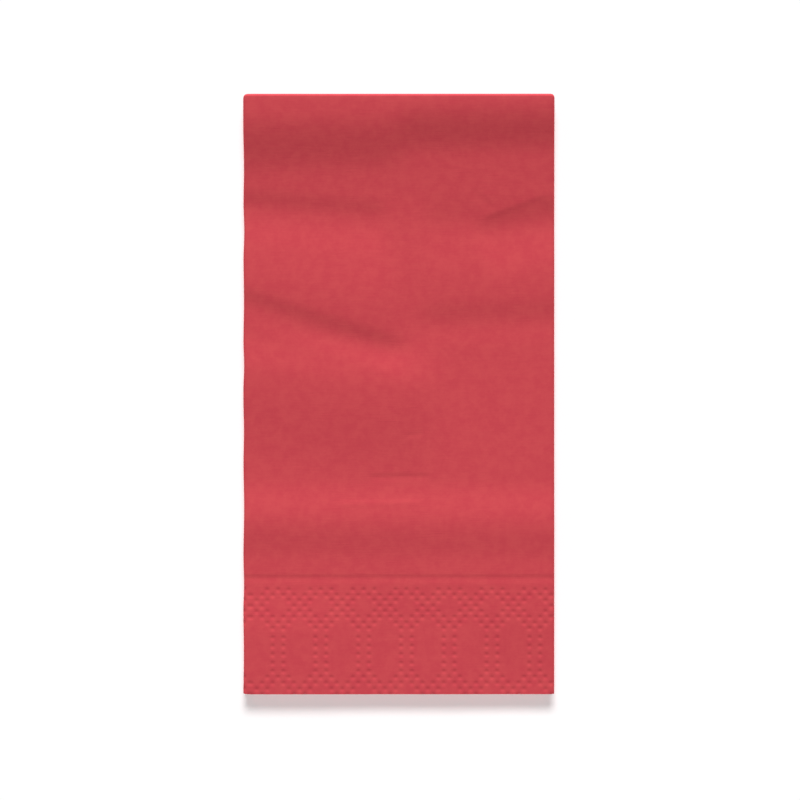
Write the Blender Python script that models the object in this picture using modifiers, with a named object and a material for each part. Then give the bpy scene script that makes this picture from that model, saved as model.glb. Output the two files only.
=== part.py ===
"""A paper napkin, folded in eight and lying on its back.

The sheet is first folded in half twice across its width, which gives four panels one over another, and then
once across its length. So the long sides are folds, the top edge is the thick cross fold, and the cut edges
lie together at the bottom. Lengths are in millimetres until the vertices are set. The origin is under the
middle of the napkin, on the surface that it lies on. X runs across it, Y from the open end to the cross fold.
"""

import math

import bmesh
import bpy

MM = 0.001

# Folded size, as it lies.
WIDTH = 100.0
LENGTH = 193.0

# The sheet, and how far apart its layers lie.
SHEET = 1.0
PITCH = 1.35

# Layers between the cross fold's middle plane and each panel, from the middle outwards: the fourth panel,
# the first, the second and the third, which is the one that shows.
FOURTH = 0.5 * PITCH
FIRST = 1.5 * PITCH
SECOND = 2.5 * PITCH
THIRD = 3.5 * PITCH

# Radii of the sheet's middle at its side folds, and where those folds are centred.
TIGHT_FOLD = 0.5 * PITCH
WIDE_FOLD = 1.5 * PITCH
LEFT_CENTRE = -WIDTH / 2 + WIDE_FOLD + SHEET / 2
RIGHT_CENTRE = WIDTH / 2 - TIGHT_FOLD - SHEET / 2
LEFT_LEVEL = 2 * PITCH
RIGHT_LEVEL = 3 * PITCH

# The two free side edges stop a little short of the right-hand fold.
FIRST_SHORT = 1.6
FOURTH_SHORT = 1.0

# The cross fold, which all four panels go round together. It is pressed, so a panel turns down round a small
# corner, goes down with a slight bulge and turns back round a larger one. Both grow with a panel's level.
CROSS_Y = LENGTH / 2 - THIRD - SHEET / 2
CROSS_Z = THIRD + SHEET / 2
UPPER_CORNER_GROWTH = 0.2
LOWER_CORNER_GROWTH = 0.6
CORNER_END = math.radians(60.0)
OPEN_END = -LENGTH / 2

# Steps of the surface, more of them on the panel and leaf that show.
HIDDEN_PANEL_STEPS = 6
SHOWN_PANEL_STEPS = 11
TIGHT_FOLD_STEPS = 4
WIDE_FOLD_STEPS = 6
CROSS_FOLD_STEPS = 12
FRONT_STEPS = 46
BACK_STEPS = 6

# How far each layer's cut edge stops short of the open end: panel, on the front leaf, on the back leaf.
EDGE_SHORT = (
    ("first", 0.9, 0.2),
    ("second", 0.0, 0.5),
    ("third", 0.6, 0.0),
    ("fourth", 0.4, 0.8),
)

# The face's soft ridges and troughs, each along a line from its left end to its right end: name, left x,
# left y, right x, right y, height (negative for a trough), reach towards the cross fold, reach towards the
# open end, and how far it fades past its ends. A reach longer than the napkin holds the height to its edge.
SWELLS = (
    ("rise to the cross fold", -60.0, 96.0, 60.0, 97.5, 1.15, 200.0, 44.0, 10.0),
    ("left shoulder", -60.0, 90.5, -8.0, 91.5, 1.10, 200.0, 21.0, 16.0),
    ("right shoulder", 8.0, 94.0, 60.0, 94.5, 1.15, 200.0, 18.0, 16.0),
    ("left trough", -60.0, 60.5, -9.0, 56.5, -0.26, 7.0, 13.0, 8.0),
    ("right dent", 31.0, 53.5, 48.0, 60.0, -0.29, 8.0, 9.0, 8.0),
    ("broad swell", -60.0, 38.5, -4.0, 29.0, 0.56, 24.0, 26.0, 20.0),
    ("right swell", 16.0, 37.0, 60.0, 37.0, 0.36, 20.0, 22.0, 18.0),
    ("slanting crease", -60.0, 31.0, 6.0, 12.0, -0.29, 8.0, 9.0, 18.0),
    ("right crease", 14.0, 22.5, 60.0, 24.0, -0.20, 8.0, 8.0, 14.0),
    ("swell below the crease", -60.0, 8.0, 10.0, 1.0, 0.71, 16.0, 31.0, 14.0),
    ("crossing ridge", -60.0, -40.0, 60.0, -39.5, 0.56, 15.0, 16.0, 14.0),
    ("lift left of the border", -60.0, -79.0, -34.0, -79.0, 0.42, 20.0, 200.0, 30.0),
    ("dip right of the border", 38.0, -93.0, 60.0, -93.0, -0.30, 24.0, 200.0, 26.0),
)

# Dyed tissue: sRGB 198, 73, 79 in linear light.
TISSUE_RED = (0.565, 0.067, 0.078, 1.0)
TISSUE_ROUGHNESS = 0.9


def clear_scene():
    """Remove the objects that the scene starts with."""
    for thing in list(bpy.data.objects):
        bpy.data.objects.remove(thing, do_unlink=True)


def run(x_from, x_to, level, steps):
    """Return a straight panel of the section, as (x, level) points from one side to the other."""
    return [(x_from + (x_to - x_from) * step / steps, level) for step in range(steps + 1)]


def turn(centre_x, centre_level, radius, start, end, steps):
    """Return a side fold of the section, as (x, level) points round a half circle between two angles."""
    points = []
    for step in range(1, steps):
        angle = start + (end - start) * step / steps
        points.append((centre_x + radius * math.cos(angle), centre_level + radius * math.sin(angle)))
    return points


def folded_section():
    """Return the sheet's whole section across its width, as (x, level, panel place) points.

    The panel place counts the panels along the sheet: 0 in the first, 3 in the fourth, and between two
    numbers in a fold.
    """
    quarter = math.pi / 2
    hidden = HIDDEN_PANEL_STEPS
    pieces = (
        (0.0, 0.0, run(WIDTH / 2 - FIRST_SHORT, LEFT_CENTRE, FIRST, hidden)),
        (0.0, 1.0, turn(LEFT_CENTRE, LEFT_LEVEL, TIGHT_FOLD, 3 * quarter, quarter, TIGHT_FOLD_STEPS)),
        (1.0, 1.0, run(LEFT_CENTRE, RIGHT_CENTRE, SECOND, hidden)),
        (1.0, 2.0, turn(RIGHT_CENTRE, RIGHT_LEVEL, TIGHT_FOLD, -quarter, quarter, TIGHT_FOLD_STEPS)),
        (2.0, 2.0, run(RIGHT_CENTRE, LEFT_CENTRE, THIRD, SHOWN_PANEL_STEPS)),
        (2.0, 3.0, turn(LEFT_CENTRE, LEFT_LEVEL, WIDE_FOLD, quarter, 3 * quarter, WIDE_FOLD_STEPS)),
        (3.0, 3.0, run(LEFT_CENTRE, WIDTH / 2 - FOURTH_SHORT, FOURTH, hidden)),
    )
    section = []
    for place_from, place_to, points in pieces:
        for index, (x, level) in enumerate(points):
            share = (index + 1) / (len(points) + 1)
            section.append((x, level, place_from + (place_to - place_from) * share))
    return section


def folded_rows():
    """Return the rows along the sheet's length, as (leaf, share, angle).

    The share runs from 0 at a leaf's cut edge to 1 at the cross fold, and the angle is the turn round it:
    0 on the front leaf, which lies uppermost, and half a turn on the back leaf.
    """
    rows = [("front", step / FRONT_STEPS, 0.0) for step in range(FRONT_STEPS + 1)]
    for step in range(1, CROSS_FOLD_STEPS):
        rows.append(("front", 1.0, math.pi * step / CROSS_FOLD_STEPS))
    rows += [("back", 1.0 - step / BACK_STEPS, math.pi) for step in range(BACK_STEPS + 1)]
    return rows


def cut_edge(leaf, place):
    """Return Y of a leaf's cut edge at a place along the panels."""
    lower = min(int(place), len(EDGE_SHORT) - 2)
    column = 1 if leaf == "front" else 2
    first = EDGE_SHORT[lower][column]
    second = EDGE_SHORT[lower + 1][column]
    return OPEN_END + first + (second - first) * (place - lower)


def flank(distance, reach):
    """Return 1 on a ridge's line, 0 past its reach, and a smooth slope between them."""
    return 0.5 + 0.5 * math.cos(math.pi * min(abs(distance) / reach, 1.0))


def face_height(x, y):
    """Return how far the face rises above its plain level at a point."""
    height = 0.0
    for _, left_x, left_y, right_x, right_y, rise, reach_up, reach_down, fade in SWELLS:
        span = math.hypot(right_x - left_x, right_y - left_y)
        along_x, along_y = (right_x - left_x) / span, (right_y - left_y) / span
        along = (x - left_x) * along_x + (y - left_y) * along_y
        across = (y - left_y) * along_x - (x - left_x) * along_y
        past_end = max(0.0, -along, along - span)
        reach = reach_up if across > 0.0 else reach_down
        height += rise * flank(across, reach) * flank(past_end, fade)
    return height


def place_vertex(column, row):
    """Return the folded place in millimetres of the sheet's middle at one column and one row.

    The back leaf lies flat. The layers of the front leaf follow the face more closely the higher they lie.
    """
    x, level, panel_place = column
    leaf, share, angle = row
    growth = UPPER_CORNER_GROWTH if angle <= math.pi / 2 else LOWER_CORNER_GROWTH
    corner = TIGHT_FOLD + growth * (level - TIGHT_FOLD)
    flat = level - corner
    wall = (math.pi / 2 - angle) / (math.pi / 2 - CORNER_END)
    edge = cut_edge(leaf, panel_place)
    y = edge + (CROSS_Y + flat - edge) * share + corner * math.sin(angle)
    z = CROSS_Z + flat * max(-1.0, min(1.0, wall)) + corner * math.cos(angle)
    still = CROSS_Z - FOURTH
    share_of_face = max(0.0, z - still) / (THIRD + FOURTH)
    return x, y, z + share_of_face * face_height(x, y)


def folded_sheet():
    """Return the mesh of the folded sheet's middle, from a flat grid moved on to the folds."""
    columns = folded_section()
    rows = folded_rows()
    across = len(columns) - 1
    along = len(rows) - 1
    sheet = bmesh.new()
    bmesh.ops.create_grid(sheet, x_segments=across, y_segments=along, size=0.5)
    for vertex in sheet.verts:
        column = columns[round((vertex.co.x + 0.5) * across)]
        row = rows[round((vertex.co.y + 0.5) * along)]
        vertex.co = [length * MM for length in place_vertex(column, row)]
    mesh = bpy.data.meshes.new("napkin")
    sheet.to_mesh(mesh)
    sheet.free()
    return mesh


def tissue_material():
    """Return the red tissue's material."""
    material = bpy.data.materials.new("dyed_tissue")
    material.use_nodes = True
    shader = material.node_tree.nodes["Principled BSDF"]
    shader.inputs["Base Color"].default_value = TISSUE_RED
    shader.inputs["Roughness"].default_value = TISSUE_ROUGHNESS
    shader.inputs["Metallic"].default_value = 0.0
    return material


def main():
    """Build the napkin."""
    clear_scene()
    collection = bpy.data.collections.new("paper_napkin")
    bpy.context.scene.collection.children.link(collection)

    mesh = folded_sheet()
    mesh.materials.append(tissue_material())
    napkin = bpy.data.objects.new("napkin", mesh)
    collection.objects.link(napkin)

    thickness = napkin.modifiers.new("sheet thickness", "SOLIDIFY")
    thickness.thickness = SHEET * MM
    thickness.offset = 0.0
    thickness.use_even_offset = True
    thickness.use_quality_normals = True
    mesh.shade_smooth()
    mesh.set_sharp_from_angle(angle=math.radians(50.0))


main()
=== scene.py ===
"""The looks of a red paper napkin, folded in eight and lying on its back, seen from straight above.

The napkin is one sheet of two-ply dyed tissue. It is built flat, as a thin slab with its plies parted at the
cut edges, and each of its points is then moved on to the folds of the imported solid. A pressed border of small
dots runs along the cut edges. Lengths are in millimetres until a mesh is made, and places are those of the
frame.
"""

import logging
import math
from dataclasses import dataclass
from enum import Enum, IntEnum
from typing import ClassVar

import bmesh
import bpy
import numpy as np
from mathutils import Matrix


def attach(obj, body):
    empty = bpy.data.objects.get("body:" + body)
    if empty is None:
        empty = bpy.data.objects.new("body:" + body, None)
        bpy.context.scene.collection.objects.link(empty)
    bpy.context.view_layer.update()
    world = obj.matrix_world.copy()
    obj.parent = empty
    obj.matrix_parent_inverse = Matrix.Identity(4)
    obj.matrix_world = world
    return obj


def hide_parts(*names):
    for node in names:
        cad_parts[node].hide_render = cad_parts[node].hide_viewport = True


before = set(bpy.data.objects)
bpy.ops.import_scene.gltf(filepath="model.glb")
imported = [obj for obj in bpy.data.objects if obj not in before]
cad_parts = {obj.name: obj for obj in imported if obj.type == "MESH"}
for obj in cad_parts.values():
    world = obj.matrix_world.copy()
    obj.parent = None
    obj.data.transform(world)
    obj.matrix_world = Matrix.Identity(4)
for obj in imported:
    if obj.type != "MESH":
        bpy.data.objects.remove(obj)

LOG = logging.getLogger("paper_napkin")
MM = 0.001

# Distances, in millimetres, within which a point still lies on a stretch, on another point or in a patch.
ROUNDING = 1e-6
SAME_PLACE = 0.001
NEAR = 0.01

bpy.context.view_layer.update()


def linear_colour(hex_value: str) -> tuple[float, float, float, float]:
    """Turn an sRGB hex colour to linear light.

    Args:
        hex_value: Six hex digits, such as "C6494F".

    Returns:
        Red, green, blue and an alpha of 1.
    """
    channels = []
    for start in (0, 2, 4):
        value = int(hex_value[start:start + 2], 16) / 255.0
        channels.append(value / 12.92 if value <= 0.04045 else ((value + 0.055) / 1.055) ** 2.4)
    return (channels[0], channels[1], channels[2], 1.0)


def add_node(tree: bpy.types.NodeTree, kind: str, settings: dict | None = None,
             inputs: dict | None = None) -> bpy.types.Node:
    """Add a node with its settings and what goes into its sockets.

    Args:
        tree: The node tree that takes the node.
        kind: The node's type name.
        settings: Properties of the node, by name.
        inputs: For each socket, by name or number, a value or another node's output socket.

    Returns:
        The new node.
    """
    node = tree.nodes.new(kind)
    for name, value in (settings or {}).items():
        setattr(node, name, value)
    for name, value in (inputs or {}).items():
        if isinstance(value, bpy.types.NodeSocket):
            tree.links.new(value, node.inputs[name])
        else:
            node.inputs[name].default_value = value
    return node


def flank(share: np.ndarray) -> np.ndarray:
    """Return 1 on a line, 0 from a whole share away, and a smooth slope between them."""
    return 0.5 + 0.5 * np.cos(np.pi * np.minimum(np.abs(share), 1.0))


class Facing(Enum):
    """Which way the sheet's shown face looks: out of the cross fold or the side fold, or into it."""

    OUTWARDS = 1.0
    INWARDS = -1.0


class Stretch(IntEnum):
    """The stretches of the folded section, in their order along the sheet."""

    FIRST_PANEL = 0
    LEFT_TIGHT_FOLD = 1
    SECOND_PANEL = 2
    RIGHT_FOLD = 3
    SHOWN_PANEL = 4
    LEFT_WIDE_FOLD = 5
    FOURTH_PANEL = 6


@dataclass(frozen=True)
class Panel:
    """A straight panel of the section, at one level between two sides."""

    places_passed: ClassVar[float] = 0.0

    x_from: float
    x_to: float
    level: float
    facing: Facing

    @property
    def length(self) -> float:
        """Length along the sheet."""
        return abs(self.x_to - self.x_from)

    def follow(self, along: np.ndarray) -> tuple[np.ndarray, np.ndarray, np.ndarray, np.ndarray]:
        """Follow the panel.

        Args:
            along: Distances from its start.

        Returns:
            X, the level, and the shown face's direction in X and in level.
        """
        heading = math.copysign(1.0, self.x_to - self.x_from)
        still = np.zeros_like(along)
        return self.x_from + heading * along, still + self.level, still, still + self.facing.value


@dataclass(frozen=True)
class SideFold:
    """A half turn at one side. A squareness of 2 gives a half circle, and more of it squarer corners."""

    places_passed: ClassVar[float] = 1.0

    centre: float
    level: float
    radius: float
    start_angle: float
    turn_angle: float
    facing: Facing
    squareness: float = 2.0

    @property
    def length(self) -> float:
        """Length along the sheet, taken as that of the half circle."""
        return self.radius * abs(self.turn_angle)

    def follow(self, along: np.ndarray) -> tuple[np.ndarray, np.ndarray, np.ndarray, np.ndarray]:
        """Follow the fold.

        Args:
            along: Distances from its start.

        Returns:
            X, the level, and the shown face's direction in X and in level.
        """
        angle = self.start_angle + self.turn_angle * along / self.length
        across, up = np.cos(angle), np.sin(angle)
        power = 2.0 / self.squareness
        x = self.centre + self.radius * np.sign(across) * np.abs(across) ** power
        level = self.level + self.radius * np.sign(up) * np.abs(up) ** power
        face_x = np.sign(across) * np.abs(across) ** (2.0 - power)
        face_level = np.sign(up) * np.abs(up) ** (2.0 - power)
        size = self.facing.value * np.hypot(face_x, face_level)
        return x, level, face_x / size, face_level / size


@dataclass(frozen=True)
class Section:
    """Places on the folded section, the shown face's direction there, and a count of the panels passed."""

    x: np.ndarray
    level: np.ndarray
    face_x: np.ndarray
    face_level: np.ndarray
    place: np.ndarray


@dataclass(frozen=True)
class FoldPlan:
    """The folded sheet's sizes, in millimetres, and how a point of the flat sheet goes on to the folds."""

    # The folded napkin, the solid's sheet and how far apart its layers lie.
    width: float = 100.0
    length: float = 193.0
    solid_sheet: float = 1.0
    pitch: float = 1.35
    # How far the two free side edges stop short of the right-hand fold.
    first_short: float = 1.6
    fourth_short: float = 1.0
    # The left-hand fold that shows, which is pressed nearly square.
    wide_squareness: float = 5.0
    # The cross fold: how its two corners grow with a panel's level, the turn where the upper one ends, and the
    # fold's length in the grid.
    upper_growth: float = -0.05
    lower_growth: float = 0.8
    corner_end: float = math.radians(42.0)
    cross_run: float = 18.0
    # How far each panel's cut edge stops short of the open end, from the first panel to the fourth.
    front_short: tuple[float, float, float, float] = (0.9, 0.3, 0.0, 0.6)
    back_short: tuple[float, float, float, float] = (0.2, 0.5, 0.0, 0.8)

    @property
    def levels(self) -> tuple[float, float, float, float]:
        """Height of each panel from the cross fold's middle plane, from the first panel to the fourth."""
        return (1.5 * self.pitch, 2.5 * self.pitch, 3.5 * self.pitch, 0.5 * self.pitch)

    @property
    def tight_fold(self) -> float:
        """Radius of the sheet's middle at the folds inside the stack."""
        return 0.5 * self.pitch

    @property
    def wide_fold(self) -> float:
        """Radius of the sheet's middle at the left-hand fold that shows."""
        return 1.5 * self.pitch

    @property
    def left_centre(self) -> float:
        """X of the middle of the left-hand folds."""
        return -self.width / 2 + self.wide_fold + self.solid_sheet / 2

    @property
    def right_centre(self) -> float:
        """X of the middle of the right-hand fold."""
        return self.width / 2 - self.tight_fold - self.solid_sheet / 2

    @property
    def cross_y(self) -> float:
        """Y of the cross fold's middle."""
        return self.length / 2 - self.levels[2] - self.solid_sheet / 2

    @property
    def cross_z(self) -> float:
        """Height of the plane between the two leaves."""
        return self.levels[2] + self.solid_sheet / 2

    @property
    def open_end(self) -> float:
        """Y of the open end, where the cut edges lie."""
        return -self.length / 2

    @property
    def leaf_run(self) -> float:
        """Length of one leaf along the flat sheet."""
        return self.cross_y - self.open_end

    @property
    def sheet_length(self) -> float:
        """Length of the flat sheet, both leaves and the cross fold."""
        return 2 * self.leaf_run + self.cross_run

    def stretches(self) -> tuple[Panel | SideFold, ...]:
        """Return the section's stretches, from the free edge of the first panel to that of the fourth."""
        first, second, third, fourth = self.levels
        edge = self.width / 2
        left, right = self.left_centre, self.right_centre
        half_turn = math.pi
        quarter = math.pi / 2
        return (
            Panel(edge - self.first_short, left, first, Facing.OUTWARDS),
            SideFold(left, 2 * self.pitch, self.tight_fold, 3 * quarter, -half_turn, Facing.INWARDS),
            Panel(left, right, second, Facing.INWARDS),
            SideFold(right, 3 * self.pitch, self.tight_fold, -quarter, half_turn, Facing.OUTWARDS),
            Panel(right, left, third, Facing.OUTWARDS),
            SideFold(left, 2 * self.pitch, self.wide_fold, quarter, half_turn, Facing.OUTWARDS,
                     self.wide_squareness),
            Panel(left, edge - self.fourth_short, fourth, Facing.INWARDS),
        )

    def span(self, stretch: Stretch) -> tuple[float, float]:
        """Return where a stretch starts and ends across the flat sheet."""
        lengths = [each.length for each in self.stretches()]
        start = sum(lengths[:stretch])
        return start, start + lengths[stretch]

    @property
    def sheet_width(self) -> float:
        """Width of the flat sheet, all four panels and the folds between them."""
        return self.span(Stretch.FOURTH_PANEL)[1]

    def section(self, u: np.ndarray) -> Section:
        """Follow the section to distances from the first panel's free edge."""
        found = np.zeros((5, len(u)))
        place = 0.0
        for order, stretch in zip(Stretch, self.stretches()):
            start, end = self.span(order)
            here = (u >= start - ROUNDING) & (u <= end + ROUNDING)
            along = np.clip(u[here] - start, 0.0, stretch.length)
            found[:4, here] = stretch.follow(along)
            found[4, here] = place + stretch.places_passed * along / stretch.length
            place += stretch.places_passed
        return Section(*found)

    def cut_edge(self, place: np.ndarray, on_front: np.ndarray) -> np.ndarray:
        """Return Y of the cut edge at each place along the panels, on the front or the back leaf."""
        panels = np.arange(len(self.front_short))
        front = np.interp(place, panels, self.front_short)
        back = np.interp(place, panels, self.back_short)
        return self.open_end + np.where(on_front, front, back)

    def cross_fold(self, level: np.ndarray, angle: np.ndarray) -> tuple[np.ndarray, ...]:
        """Follow the pressed cross fold, with its small upper corner, soft wall and large lower corner.

        Args:
            level: Each layer's distance from the fold's middle plane.
            angle: The turn round the fold, none on the front leaf and half a turn on the back one.

        Returns:
            How far the leaf goes past the fold's middle before it turns, how much the turn adds to that, the
            height, and the layer's outward direction in Y and in Z.
        """
        growth = np.where(angle <= math.pi / 2, self.upper_growth, self.lower_growth)
        corner = self.tight_fold + growth * (level - self.tight_fold)
        flat = level - corner

        # The wall goes down in one smooth step, from 1 to -1.
        wall_span = math.pi - 2 * self.corner_end
        step = np.clip((angle - self.corner_end) / wall_span, 0.0, 1.0)
        wall = 1.0 - 2.0 * step * step * (3.0 - 2.0 * step)
        wall_slope = -12.0 * step * (1.0 - step) / wall_span
        height = self.cross_z + flat * wall + corner * np.cos(angle)
        run_y = corner * np.cos(angle)
        run_z = flat * wall_slope - corner * np.sin(angle)
        run = np.hypot(run_y, run_z)
        return flat, corner * np.sin(angle), height, -run_z / run, run_y / run

    def fold(self, u: np.ndarray, v: np.ndarray, w: np.ndarray,
             relief: "Relief") -> tuple[np.ndarray, np.ndarray]:
        """Move points of the flat sheet on to the folds.

        Args:
            u: Distance across the flat sheet.
            v: Distance along it, from the front leaf's cut edge.
            w: Distance from the sheet's middle towards its shown face.
            relief: The uneven face.

        Returns:
            The places, one row each, and each point's distance from its own cut edge.
        """
        section = self.section(u)
        on_front = v <= self.leaf_run + self.cross_run
        angle = math.pi * np.clip((v - self.leaf_run) / self.cross_run, 0.0, 1.0)
        share = np.clip(np.minimum(v, self.sheet_length - v) / self.leaf_run, 0.0, 1.0)
        flat, turned, height, out_y, out_z = self.cross_fold(section.level, angle)
        edge = self.cut_edge(section.place, on_front)
        y = edge + (self.cross_y + flat - edge) * share + turned

        still = self.cross_z - self.levels[3]
        share_of_face = np.maximum(0.0, height - still) / (self.levels[2] + self.levels[3])
        lift = share_of_face * relief.height(section.x, y)
        rise = w * section.face_level - relief.cross_dent(section.x, angle) * section.level / self.levels[2]
        inwards = relief.side_dent(y, section.place) * np.abs(section.face_x)
        places = np.stack((
            section.x + w * section.face_x + inwards,
            y + rise * out_y,
            height + rise * out_z + lift,
        ), axis=1)
        return places, np.abs(y - edge)


@dataclass(frozen=True)
class Swell:
    """A soft ridge of the face along a line, or a trough if its height is negative.

    It reaches a way up towards the cross fold and a way down towards the open end, and fades past its two
    ends. A reach longer than the napkin holds the height to its edge.
    """

    left: tuple[float, float]
    right: tuple[float, float]
    height: float
    reach_up: float
    reach_down: float
    fade: float

    def lift(self, x: np.ndarray, y: np.ndarray) -> np.ndarray:
        """Return how much this ridge lifts the face at each point."""
        span = math.hypot(self.right[0] - self.left[0], self.right[1] - self.left[1])
        along_x = (self.right[0] - self.left[0]) / span
        along_y = (self.right[1] - self.left[1]) / span
        along = (x - self.left[0]) * along_x + (y - self.left[1]) * along_y
        across = (y - self.left[1]) * along_x - (x - self.left[0]) * along_y
        past_end = np.maximum(0.0, np.maximum(-along, along - span))
        reach = np.where(across > 0.0, self.reach_up, self.reach_down)
        return self.height * flank(across / reach) * flank(past_end / self.fade)


@dataclass(frozen=True)
class Pucker:
    """A shallow dent in the side of a fold, where its layers buckle.

    It has a middle, a half width, a depth, a lean and a number of furrows one below another.
    """

    middle: float
    half_width: float
    depth: float
    lean: float = 0.0
    furrows: int = 1

    def dent(self, along: np.ndarray, down: np.ndarray) -> np.ndarray:
        """Return the depth at places along the fold and down its side, which runs from 0 to 1."""
        middle = self.middle + self.lean * (down - 0.5)
        furrow = np.sin(np.pi * self.furrows * down) ** 2
        return self.depth * flank((along - middle) / self.half_width) * furrow


@dataclass(frozen=True)
class Relief:
    """The uneven face and folds: soft ridges and troughs, fine creases, and puckers in the folds' sides."""

    swells: tuple[Swell, ...] = (
        # The rise to the cross fold, steeper near its two ends.
        Swell((-60.0, 96.0), (60.0, 97.5), 1.15, 200.0, 44.0, 10.0),
        Swell((-60.0, 90.5), (-8.0, 91.5), 1.10, 200.0, 21.0, 16.0),
        Swell((8.0, 94.0), (60.0, 94.5), 1.15, 200.0, 18.0, 16.0),
        Swell((14.0, 66.0), (60.0, 66.0), 0.28, 200.0, 15.0, 10.0),
        # The trough and the dent under it.
        Swell((-60.0, 60.5), (-9.0, 56.5), -0.26, 7.0, 13.0, 8.0),
        Swell((31.0, 51.0), (48.0, 56.5), -0.29, 8.0, 16.0, 8.0),
        # The broad swells of the middle and the slanting creases across them.
        Swell((-60.0, 38.5), (-10.0, 30.5), 0.56, 24.0, 26.0, 17.0),
        Swell((16.0, 37.0), (60.0, 37.0), 0.36, 20.0, 22.0, 18.0),
        Swell((-60.0, 32.3), (-4.0, 14.4), -0.26, 6.0, 8.0, 10.0),
        Swell((14.0, 22.5), (60.0, 24.0), -0.18, 8.0, 8.0, 14.0),
        Swell((-60.0, 8.0), (0.0, 2.0), 0.66, 16.0, 31.0, 20.0),
        # The ridge above the border, the border's own lift and dip, and the groove along its top.
        Swell((-60.0, -41.0), (60.0, -42.0), 0.36, 14.0, 12.5, 14.0),
        Swell((-60.0, -41.0), (60.0, -42.0), 0.22, 14.0, 200.0, 14.0),
        Swell((-60.0, -79.0), (-34.0, -79.0), 0.42, 20.0, 200.0, 30.0),
        Swell((38.0, -93.0), (60.0, -93.0), -0.30, 24.0, 200.0, 26.0),
        Swell((-60.0, -59.1), (60.0, -59.1), -0.06, 1.4, 2.2, 5.0),
    )
    # Sharp little creases, which the solid leaves out.
    fine_creases: tuple[Swell, ...] = (
        Swell((30.5, 56.0), (45.0, 61.5), -0.06, 2.4, 5.0, 4.0),
        Swell((25.0, 64.0), (29.0, 60.6), -0.03, 2.2, 3.0, 3.0),
        Swell((-7.5, -26.7), (8.0, -26.5), -0.05, 1.4, 2.0, 3.0),
        Swell((3.5, -13.2), (7.0, -12.8), -0.03, 1.2, 1.5, 1.5),
        Swell((-17.0, -35.2), (5.0, -34.8), 0.04, 1.3, 2.4, 4.0),
    )
    # How many times higher than written the face's forms are built, so that they show as they do in life.
    fullness: float = 1.25
    # The part of the cross fold's turn that buckles, and its puckers from left to right.
    cross_start: float = math.radians(48.0)
    cross_end: float = math.radians(165.0)
    cross_puckers: tuple[Pucker, ...] = (
        Pucker(-40.0, 12.0, 0.50, 6.0, 2),
        Pucker(-27.0, 9.0, 0.28, -8.0, 1),
        Pucker(-18.0, 17.0, 0.62, 7.0, 2),
        Pucker(-3.0, 9.0, 0.30, -6.0, 1),
        Pucker(9.0, 14.0, 0.46, -9.0, 2),
        Pucker(23.0, 8.0, 0.32, 5.0, 1),
        Pucker(31.0, 13.0, 0.58, 8.0, 2),
        Pucker(44.0, 8.0, 0.34, -5.0, 1),
    )
    # The puckers of the wide left-hand fold, from the open end on.
    side_puckers: tuple[Pucker, ...] = (
        Pucker(-84.0, 14.0, 0.16),
        Pucker(-61.0, 9.0, 0.22),
        Pucker(-37.0, 16.0, 0.25),
        Pucker(-12.0, 11.0, 0.18),
        Pucker(9.0, 8.0, 0.26),
        Pucker(31.0, 15.0, 0.20),
        Pucker(52.0, 10.0, 0.28),
        Pucker(73.0, 13.0, 0.20),
    )

    def cross_dent(self, x: np.ndarray, angle: np.ndarray) -> np.ndarray:
        """Return how far the outermost layer buckles inwards at each place and turn round the cross fold."""
        down = np.clip((angle - self.cross_start) / (self.cross_end - self.cross_start), 0.0, 1.0)
        total = np.zeros_like(x)
        for pucker in self.cross_puckers:
            total += pucker.dent(x, down)
        return total

    def side_dent(self, y: np.ndarray, place: np.ndarray) -> np.ndarray:
        """Return how far the wide left-hand fold buckles inwards.

        Args:
            y: Places along the fold.
            place: The count of panels passed, which goes from 2 to 3 round this fold.
        """
        round_fold = np.clip(place - 2.0, 0.0, 1.0)
        total = np.zeros_like(y)
        for pucker in self.side_puckers:
            total += pucker.dent(y, round_fold)
        return total

    def height(self, x: np.ndarray, y: np.ndarray) -> np.ndarray:
        """Return how far the face rises above its plain level at each point."""
        total = np.zeros_like(x)
        for swell in self.swells + self.fine_creases:
            total += swell.lift(x, y)
        return self.fullness * total


@dataclass(frozen=True)
class DotRow:
    """One row of pressed dots: its distance from the cut edge, and its dots' places in one scallop.

    The places are in pitches from the scallop's middle.
    """

    from_edge: float
    places: tuple[float, ...]


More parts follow.
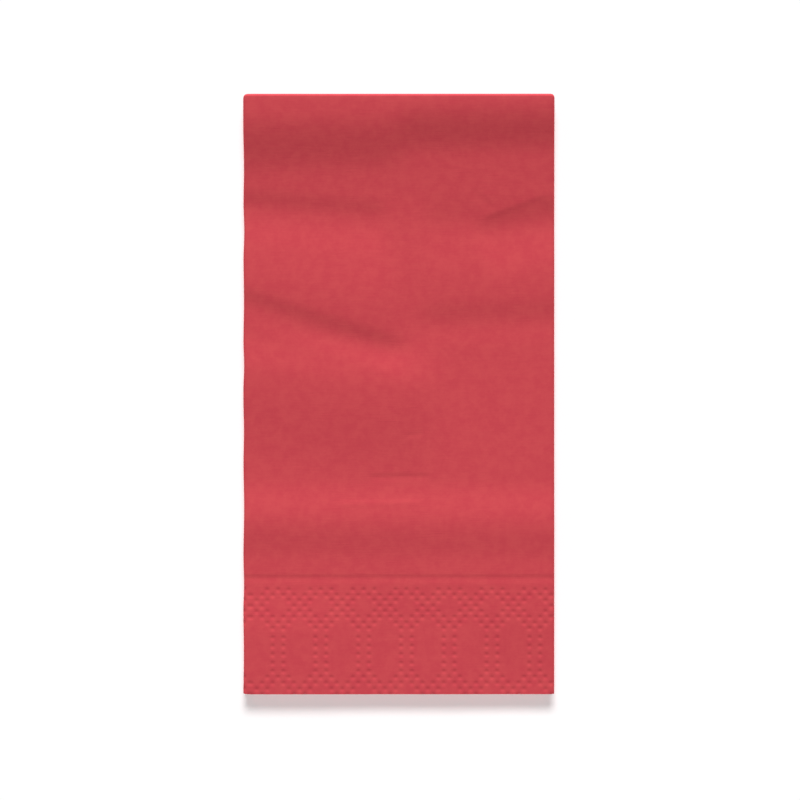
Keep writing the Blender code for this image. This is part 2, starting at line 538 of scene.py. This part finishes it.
@dataclass(frozen=True)
class PressedBorder:
    """The border of small dots pressed into the tissue along the cut edges, in scallops on straight stems."""

    # One scallop's width, its dots, and where the middle of one lies on the frame's X.
    period: float = 13.75
    dots_per_period: int = 4
    first_middle: float = 2.45
    dot_radius: float = 1.1
    depth: float = 0.13
    # Room over the highest row, for the groove.
    groove_room: float = 5.5
    rows: tuple[DotRow, ...] = (
        DotRow(33.5, (-1.0, 0.0, 1.0)),
        DotRow(31.7, (-1.5, -0.5, 0.5, 1.5)),
        DotRow(30.0, (-1.0, 1.0, 2.0)),
        DotRow(28.2, (-1.5, 1.5)),
        DotRow(26.5, (-1.0, 1.0, 2.0)),
        DotRow(24.7, (-1.5, -0.5, 0.5, 1.5)),
        DotRow(22.8, (-1.0, 0.0, 1.0)),
        DotRow(21.1, (-0.5, 0.5)),
        DotRow(18.1, (-0.5, 0.5)),
        DotRow(15.4, (-0.5, 0.5)),
        DotRow(12.7, (-0.5, 0.5)),
        DotRow(9.9, (-0.5, 0.5)),
        DotRow(7.3, (-0.5, 0.5)),
        DotRow(5.4, (-1.0, 0.0, 1.0)),
        DotRow(3.5, (-1.5, -0.5, 0.5, 1.5)),
        DotRow(1.6, (-1.0, 1.0, 2.0)),
        DotRow(-0.1, (-1.5, 1.5)),
    )

    @property
    def height(self) -> float:
        """Distance from the cut edge to just past the highest row and the groove over it."""
        return self.rows[0].from_edge + self.groove_room

    def pressed(self, across: np.ndarray, from_edge: np.ndarray) -> np.ndarray:
        """Return how deep the tissue is pressed at places across the sheet and away from its cut edge."""
        pitch = self.period / self.dots_per_period
        total = np.zeros_like(across)
        for row in self.rows:
            up = from_edge - row.from_edge
            near = np.abs(up) < self.dot_radius
            if not near.any():
                continue
            for place in row.places:
                offset = across[near] - self.first_middle - place * pitch
                offset -= self.period * np.round(offset / self.period)
                pit = flank(np.hypot(offset, up[near]) / self.dot_radius)
                total[near] = np.maximum(total[near], pit)
        return self.depth * total


@dataclass(frozen=True)
class DyedCrepedTissue:
    """Tissue paper, dyed in the pulp and creped off a drying roll.

    It scatters all the light that falls on it, so it gives the eye a matt red without any shine. It is
    slightly cloudy where the pulp lay thicker, and has faint streaks across it where the blade crumpled it.
    """

    thin_colour: str = "CA4C52"
    thick_colour: str = "C5464F"
    roughness: float = 0.9
    specular: float = 0.0
    # Real creping has a crest about every 0.15 mm. It is drawn three times coarser, so that it shows.
    crepe_pitch: float = 0.45
    crepe_length: float = 5.0
    crepe_height: float = 0.018
    # A fibre is about 0.03 mm wide, too fine to show. The fibres are drawn as a grain of 0.25 mm.
    fibre_size: float = 0.25
    fibre_height: float = 0.01
    # The pulp's clouds at their real size, and the noise values where thick pulp turns to thin.
    cloud_size: float = 3.0
    cloud_low: float = 0.35
    cloud_high: float = 0.65

    def make(self) -> bpy.types.Material:
        """Return the tissue's material."""
        material = bpy.data.materials.new("dyed_creped_tissue")
        material.use_nodes = True
        tree = material.node_tree
        tree.nodes.clear()
        place = add_node(tree, "ShaderNodeTexCoord").outputs["Object"]
        stretched = add_node(tree, "ShaderNodeMapping", {"label": "crepe direction"}, {
            "Vector": place,
            "Scale": [1.0 / (size * MM) for size in (self.crepe_length, self.crepe_pitch, self.crepe_pitch)],
        })
        crepe = add_node(tree, "ShaderNodeTexNoise", {"label": "crepe streaks"}, {
            "Vector": stretched.outputs["Vector"], "Scale": 1.0, "Detail": 2.0, "Roughness": 0.5,
        })
        cloud = add_node(tree, "ShaderNodeTexNoise", {"label": "pulp clouds"}, {
            "Vector": place, "Scale": 1.0 / (self.cloud_size * MM), "Detail": 3.0, "Roughness": 0.6,
        })
        fibre = add_node(tree, "ShaderNodeTexNoise", {"label": "fibre grain"}, {
            "Vector": place, "Scale": 1.0 / (self.fibre_size * MM), "Detail": 1.0, "Roughness": 0.5,
        })
        tone = add_node(tree, "ShaderNodeValToRGB", {"label": "dyed tone"}, {"Fac": cloud.outputs["Fac"]})
        tone.color_ramp.elements[0].position = self.cloud_low
        tone.color_ramp.elements[0].color = linear_colour(self.thick_colour)
        tone.color_ramp.elements[1].position = self.cloud_high
        tone.color_ramp.elements[1].color = linear_colour(self.thin_colour)
        crepe_bump = add_node(tree, "ShaderNodeBump", {"label": "crepe height"}, {
            "Height": crepe.outputs["Fac"], "Distance": self.crepe_height * MM, "Strength": 1.0,
        })
        fibre_bump = add_node(tree, "ShaderNodeBump", {"label": "fibre height"}, {
            "Height": fibre.outputs["Fac"], "Distance": self.fibre_height * MM, "Strength": 1.0,
            "Normal": crepe_bump.outputs["Normal"],
        })
        shader = add_node(tree, "ShaderNodeBsdfPrincipled", inputs={
            "Base Color": tone.outputs["Color"], "Roughness": self.roughness,
            "Specular IOR Level": self.specular, "Normal": fibre_bump.outputs["Normal"],
        })
        add_node(tree, "ShaderNodeOutputMaterial", inputs={"Surface": shader.outputs["BSDF"]})
        return material


@dataclass(frozen=True)
class MattWhiteBoard:
    """Matt white board, as a plain studio floor: even and near white."""

    colour: str = "FAFAFA"
    roughness: float = 0.9

    def make(self) -> bpy.types.Material:
        """Return the board's material."""
        material = bpy.data.materials.new("matt_white_board")
        material.use_nodes = True
        tree = material.node_tree
        tree.nodes.clear()
        shader = add_node(tree, "ShaderNodeBsdfPrincipled", inputs={
            "Base Color": linear_colour(self.colour), "Roughness": self.roughness,
        })
        add_node(tree, "ShaderNodeOutputMaterial", inputs={"Surface": shader.outputs["BSDF"]})
        return material


@dataclass
class NapkinSheet:
    """The two-ply sheet: its slab, its plies parted at the cut edges, its folds and its border."""

    plan: FoldPlan
    relief: Relief
    border: PressedBorder
    finish: DyedCrepedTissue
    # The outer skin's distance from the sheet's middle, the two plies, and how deep they part at cut edges.
    # The plies are drawn as thick as the solid's sheet needs. Real ones are under a tenth of a millimetre.
    outer_skin: float = 0.5
    outer_ply: float = 0.4
    ply_gap: float = 0.16
    inner_ply: float = 0.4
    parting: float = 3.0
    # The grid: steps across the hidden panels and the two kinds of side fold, and the other steps' sizes.
    hidden_steps: int = 6
    tight_steps: int = 6
    wide_steps: int = 12
    cross_steps: int = 28
    panel_step: float = 1.32
    border_step: float = 1.32
    face_step: float = 1.5
    back_step: float = 5.0
    # Cuts that make the grid finer on the borders and at the creases, and the columns kept on the inner skin.
    front_cuts: int = 3
    back_cuts: int = 1
    crease_cuts: int = 2
    inner_every: int = 6
    sharp_angle: float = math.radians(50.0)

    def columns(self) -> np.ndarray:
        """Return the grid's places across the flat sheet, closest on the shown panel and its folds."""
        shown = self.plan.span(Stretch.SHOWN_PANEL)
        steps = (self.hidden_steps, self.tight_steps, self.hidden_steps, self.tight_steps,
                 round((shown[1] - shown[0]) / self.panel_step), self.wide_steps, self.hidden_steps)
        places = [0.0]
        for stretch, count in zip(Stretch, steps):
            start, end = self.plan.span(stretch)
            places += [start + (end - start) * (step + 1) / count for step in range(count)]
        return np.array(places)

    def rows(self) -> np.ndarray:
        """Return the grid's places along the flat sheet, closest on the borders and the front leaf."""
        border = self.border.height
        leaf = self.plan.leaf_run
        far = self.plan.sheet_length
        spans = (
            (0.0, border, round(border / self.border_step)),
            (border, leaf, round((leaf - border) / self.face_step)),
            (leaf, leaf + self.plan.cross_run, self.cross_steps),
            (leaf + self.plan.cross_run, far - border, round((leaf - border) / self.back_step)),
            (far - border, far, round(border / self.border_step)),
        )
        places = [0.0]
        for start, end, count in spans:
            places += [start + (end - start) * (step + 1) / count for step in range(count)]
        return np.array(places)

    def flat_slab(self) -> bmesh.types.BMesh:
        """Return the closed flat sheet, with a slot between its plies all round its cut edges."""
        columns = self.columns()
        rows = self.rows()
        slab = bmesh.new()
        bmesh.ops.create_grid(slab, x_segments=len(columns) - 1, y_segments=len(rows) - 1, size=0.5)
        for vertex in slab.verts:
            column = round((vertex.co.x + 0.5) * (len(columns) - 1))
            row = round((vertex.co.y + 0.5) * (len(rows) - 1))
            vertex.co = (columns[column], rows[row], self.outer_skin)
        rim = [edge for edge in slab.edges if edge.is_boundary]

        inner_skin = self.outer_skin - self.outer_ply - self.ply_gap - self.inner_ply
        copied = bmesh.ops.duplicate(slab, geom=slab.verts[:] + slab.edges[:] + slab.faces[:])["geom"]
        back_faces = [item for item in copied if isinstance(item, bmesh.types.BMFace)]
        bmesh.ops.reverse_faces(slab, faces=back_faces)
        for item in copied:
            if isinstance(item, bmesh.types.BMVert):
                item.co.z = inner_skin
        inner_rim = [item for item in copied if isinstance(item, bmesh.types.BMEdge) and item.is_boundary]

        slot_top = self.outer_skin - self.outer_ply
        slot_bottom = slot_top - self.ply_gap
        far_corner = (columns[-1], rows[-1])
        for ply_rim, height in ((inner_rim, slot_bottom), (rim, slot_top)):
            ply_rim = self.draw_loop(slab, ply_rim, height, 0.0, far_corner)
            ply_rim = self.draw_loop(slab, ply_rim, height, self.parting, far_corner)
        self.draw_loop(slab, ply_rim, slot_bottom, self.parting, far_corner)
        bmesh.ops.remove_doubles(slab, verts=slab.verts[:], dist=SAME_PLACE)
        bmesh.ops.recalc_face_normals(slab, faces=slab.faces[:])
        self.thin_inner_skin(slab, columns, inner_skin)
        return slab

    def thin_inner_skin(self, slab: bmesh.types.BMesh, columns: np.ndarray, inner_skin: float) -> None:
        """Take most of the shown panel's columns out of the inner skin, which nobody sees.

        Args:
            slab: The closed flat sheet.
            columns: The grid's places across it.
            inner_skin: Distance of the inner skin from the sheet's middle.
        """
        start, end = self.plan.span(Stretch.SHOWN_PANEL)
        inside = [place for place in columns if start + NEAR < place < end - NEAR]
        kept = inside[self.inner_every - 1::self.inner_every]
        spare = np.array([place for place in inside if place not in kept])
        chosen = []
        for edge in slab.edges:
            one, two = (vertex.co for vertex in edge.verts)
            on_skin = max(abs(one.z - inner_skin), abs(two.z - inner_skin)) < SAME_PLACE
            lengthways = abs(one.x - two.x) < SAME_PLACE
            if on_skin and lengthways and np.abs(spare - one.x).min() < SAME_PLACE:
                chosen.append(edge)
        bmesh.ops.dissolve_edges(slab, edges=chosen, use_verts=True)

    @staticmethod
    def draw_loop(slab: bmesh.types.BMesh, rim: list[bmesh.types.BMEdge], height: float, inset: float,
                  far_corner: tuple[float, float]) -> list[bmesh.types.BMEdge]:
        """Draw a rim out to a new loop, joined to it by faces.

        Args:
            slab: The flat sheet.
            rim: The rim's edges.
            height: The new loop's distance from the sheet's middle.
            inset: Its least distance from the sheet's outline.
            far_corner: The flat sheet's width and length.

        Returns:
            The new loop's edges.
        """
        drawn = bmesh.ops.extrude_edge_only(slab, edges=rim)["geom"]
        for item in drawn:
            if isinstance(item, bmesh.types.BMVert):
                item.co.x = min(max(item.co.x, inset), far_corner[0] - inset)
                item.co.y = min(max(item.co.y, inset), far_corner[1] - inset)
                item.co.z = height
        return [item for item in drawn if isinstance(item, bmesh.types.BMEdge)]

    def refine(self, slab: bmesh.types.BMesh, across: tuple[float, float], along: tuple[float, float],
               cuts: int) -> None:
        """Divide a patch of the shown face more finely.

        Args:
            slab: The closed flat sheet.
            across: The patch's start and end across the flat sheet.
            along: Its start and end along it.
            cuts: Cuts made in each edge.
        """
        chosen = []
        for edge in slab.edges:
            places = [vertex.co for vertex in edge.verts]
            if all(across[0] - NEAR < place.x < across[1] + NEAR
                   and along[0] - NEAR < place.y < along[1] + NEAR
                   and place.z > self.outer_skin - NEAR for place in places):
                chosen.append(edge)
        bmesh.ops.subdivide_edges(slab, edges=chosen, cuts=cuts, use_grid_fill=True)

    def dressed_span(self) -> tuple[float, float]:
        """Return where the right-hand fold starts and the left-hand one ends, across the flat sheet."""
        return self.plan.span(Stretch.RIGHT_FOLD)[0], self.plan.span(Stretch.LEFT_WIDE_FOLD)[1]

    def refine_face(self, slab: bmesh.types.BMesh) -> None:
        """Divide the shown face finely at its creases and where the dots are pressed.

        The shown panel runs round the outside of the cross fold, so it is a little longer than its leaf in the
        grid, and its creases are sought that much lower there.
        """
        shown_start = self.plan.span(Stretch.SHOWN_PANEL)[0]
        longer = (self.plan.cross_y + self.plan.levels[2] - self.plan.open_end) / self.plan.leaf_run
        for crease in self.relief.fine_creases:
            left = min(crease.left[0], crease.right[0]) - crease.fade
            right = max(crease.left[0], crease.right[0]) + crease.fade
            low = min(crease.left[1], crease.right[1]) - crease.reach_down
            high = max(crease.left[1], crease.right[1]) + crease.reach_up
            margin = self.face_step
            across = (shown_start + self.plan.right_centre - right - margin,
                      shown_start + self.plan.right_centre - left + margin)
            along = ((low - self.plan.open_end) / longer - margin,
                     (high - self.plan.open_end) / longer + margin)
            self.refine(slab, across, along, self.crease_cuts)
        dressed = self.dressed_span()
        border = self.border.height
        far = self.plan.sheet_length
        self.refine(slab, dressed, (0.0, border), self.front_cuts)
        self.refine(slab, dressed, (far - border, far), self.back_cuts)

    def build(self) -> bpy.types.Object:
        """Return the folded sheet as an object in the frame."""
        slab = self.flat_slab()
        self.refine_face(slab)
        mesh = bpy.data.meshes.new("napkin_sheet")
        slab.to_mesh(mesh)
        slab.free()

        flat = np.empty(len(mesh.vertices) * 3)
        mesh.vertices.foreach_get("co", flat)
        u, v, w = flat.reshape(-1, 3).T
        _, from_edge = self.plan.fold(u, v, w, self.relief)
        across = self.plan.right_centre - (u - self.plan.span(Stretch.SHOWN_PANEL)[0])
        start, end = self.dressed_span()
        on_skin = (w > self.outer_skin - NEAR) & (u > start) & (u < end)
        pressed = np.where(on_skin, self.border.pressed(across, from_edge), 0.0)
        places, _ = self.plan.fold(u, v, w - pressed, self.relief)
        mesh.vertices.foreach_set("co", (places * MM).ravel())
        mesh.update()
        mesh.shade_smooth()
        mesh.set_sharp_from_angle(angle=self.sharp_angle)

        sheet = bpy.data.objects.new("napkin_sheet", mesh)
        bpy.context.scene.collection.objects.link(sheet)
        return sheet

    def dress(self, sheet: bpy.types.Object) -> None:
        """Give the sheet its finish and its place in the frame."""
        sheet.data.materials.append(self.finish.make())
        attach(sheet, "root")
        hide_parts("napkin")
        self.plan.sheet_width * MM


@dataclass(frozen=True)
class FarLamp:
    """A far lamp that lights one thing, and whose light only the napkin stops.

    Its elevation, spread and bearing are in degrees. The bearing is 0 beyond the cross fold, 90 at the left
    and 180 before the open end, and the spread softens its shadows.
    """

    name: str
    elevation: float
    strength: float
    spread: float
    bearing: float = 0.0

    def hang(self, lit: bpy.types.Object, napkin: bpy.types.Object) -> None:
        """Hang the lamp.

        Args:
            lit: What it lights.
            napkin: The napkin, which stops its light.
        """
        settings = bpy.data.lights.new(self.name, "SUN")
        settings.energy = self.strength
        settings.angle = math.radians(self.spread)
        lamp = bpy.data.objects.new(self.name, settings)
        lamp.rotation_euler = (math.radians(self.elevation - 90.0), 0.0, math.radians(self.bearing))
        bpy.context.scene.collection.objects.link(lamp)
        receivers = bpy.data.collections.new(self.name + "_lights")
        receivers.objects.link(lit)
        lamp.light_linking.receiver_collection = receivers
        blockers = bpy.data.collections.new(self.name + "_shadows")
        blockers.objects.link(napkin)
        lamp.light_linking.blocker_collection = blockers


@dataclass
class Studio:
    """The plain floor, the camera at the photograph's angle, and the light."""

    plan: FoldPlan
    napkin: bpy.types.Object
    floor_side: float = 20000.0
    floor_gap: float = 0.2
    # A long lens and its sensor, the width that it frames at the napkin's top, and where it looks.
    lens: float = 200.0
    sensor: float = 36.0
    frame_width: float = 257.15
    look_x: float = 0.39
    look_y: float = -1.93
    # A raking key brings out the face's relief. The weak fills come from under the horizon, so that they
    # light the sides, the open end and the underside without touching the face.
    napkin_lamps: tuple[FarLamp, ...] = (
        FarLamp("raking_key", 30.0, 5.8, 10.0),
        FarLamp("open_end_fill", -28.0, 1.1, 17.0, 180.0),
        FarLamp("left_fill", -28.0, 0.9, 17.0, 90.0),
        FarLamp("right_fill", -28.0, 0.9, 17.0, -90.0),
        FarLamp("underside_fill", -90.0, 0.7, 17.0),
    )
    # The floor has its own, higher light, which keeps it white round a short soft shadow.
    floor_lamps: tuple[FarLamp, ...] = (
        FarLamp("floor_key", 61.0, 1.8, 17.0),
        FarLamp("floor_fill", 90.0, 1.5, 10.0),
    )
    world_strength: float = 0.08

    def floor(self) -> bpy.types.Object:
        """Return the floor, just under the napkin."""
        place = (0.0, 0.0, -self.floor_gap * MM)
        bpy.ops.mesh.primitive_plane_add(size=self.floor_side * MM, location=place)
        floor = bpy.context.object
        floor.name = "floor"
        floor.data.materials.append(MattWhiteBoard().make())
        return floor

    def camera(self) -> None:
        """Put the camera straight above the napkin, with the cross fold at the picture's top."""
        settings = bpy.data.cameras.new("camera")
        settings.lens = self.lens
        settings.sensor_width = self.sensor
        camera = bpy.data.objects.new("camera", settings)
        top = 2 * self.plan.cross_z
        distance = self.frame_width * self.lens / self.sensor
        camera.location = (self.look_x * MM, self.look_y * MM, (top + distance) * MM)
        bpy.context.scene.collection.objects.link(camera)
        bpy.context.scene.camera = camera

    def world(self) -> None:
        """Fill the shadows with even white light."""
        world = bpy.data.worlds.new("white_room")
        world.use_nodes = True
        background = world.node_tree.nodes["Background"]
        background.inputs["Color"].default_value = linear_colour("FFFFFF")
        background.inputs["Strength"].default_value = self.world_strength
        bpy.context.scene.world = world
        bpy.context.scene.view_settings.view_transform = "Standard"

    def build(self) -> None:
        """Set up the floor, the camera and the light round the napkin."""
        floor = self.floor()
        self.camera()
        for lamp in self.napkin_lamps:
            lamp.hang(self.napkin, self.napkin)
        for lamp in self.floor_lamps:
            lamp.hang(floor, self.napkin)
        self.world()


def main() -> None:
    """Build the napkin and its studio."""
    logging.basicConfig(level=logging.INFO, format="%(message)s")
    plan = FoldPlan()
    napkin = NapkinSheet(plan, Relief(), PressedBorder(), DyedCrepedTissue())
    sheet = napkin.build()
    napkin.dress(sheet)
    sheet.data.calc_loop_triangles()
    LOG.info("%s: %d triangles", sheet.name, len(sheet.data.loop_triangles))
    Studio(plan, sheet).build()
    LOG.info("studio: floor, camera and lamps")


if __name__ == "__main__":
    main()
